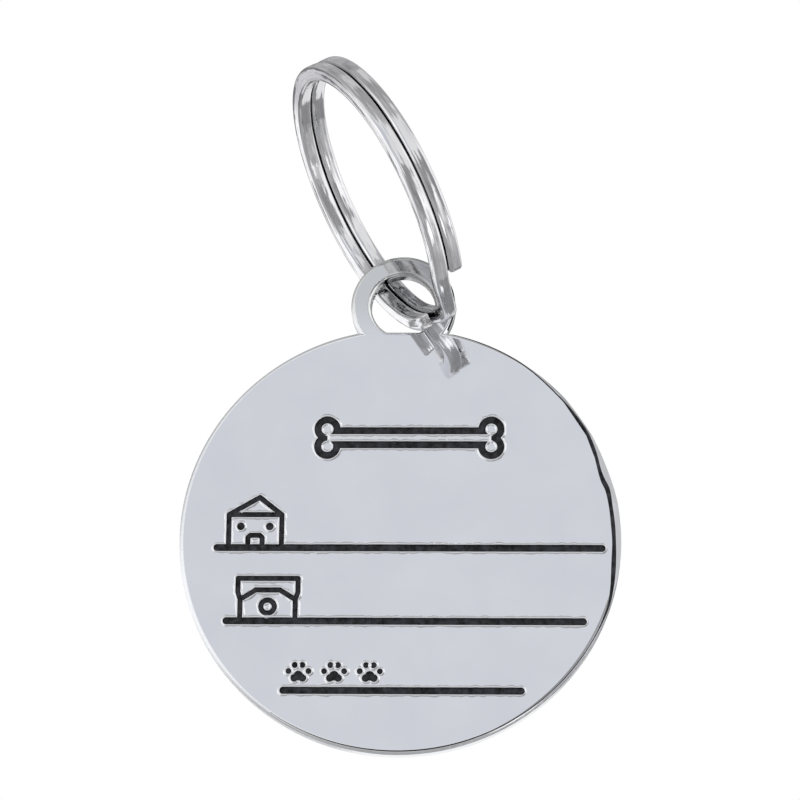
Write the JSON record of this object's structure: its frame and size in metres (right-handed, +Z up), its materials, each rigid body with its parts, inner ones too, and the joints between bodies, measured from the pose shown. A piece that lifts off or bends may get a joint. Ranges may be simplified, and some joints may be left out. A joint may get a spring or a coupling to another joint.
{
  "type": "pet id tag",
  "caption": "Round engraved pet tag with three ruled lines, small pictograms and black enamel fill, hanging by a cast eye from a two-turn split ring.",
  "frame": {"origin": "the top of the ring's inside, where the ring hangs on what it is fixed to", "axes": "+Z up, -Y out of the engraved face, +X to the right of the engraved face"},
  "size_m": [0.03, 0.0195, 0.0464],
  "materials": {
    "polished_metal": "polished bright plate on cast metal",
    "ring_wire": "bright nickel plate on flat steel wire",
    "black_enamel": "gloss enamel, dried into the groove"
  },
  "bodies": {
    "ring": {"split_ring": "ring_wire"},
    "tag": {"tag_blank": "polished_metal", "address_enamel": "black_enamel", "house_window_enamel": "black_enamel", "phone_enamel": "black_enamel", "phone_dial_enamel": "black_enamel", "name_enamel": "black_enamel", "heading_enamel": "black_enamel"}
  },
  "joints": [
    {"name": "tag_swing", "type": "hinge", "parent": "ring", "child": "tag", "pos_m": [0.00582, 0.00794, -0.01325], "axis": [0, -1, 0], "range_deg": [-78, 136]}
  ]
}
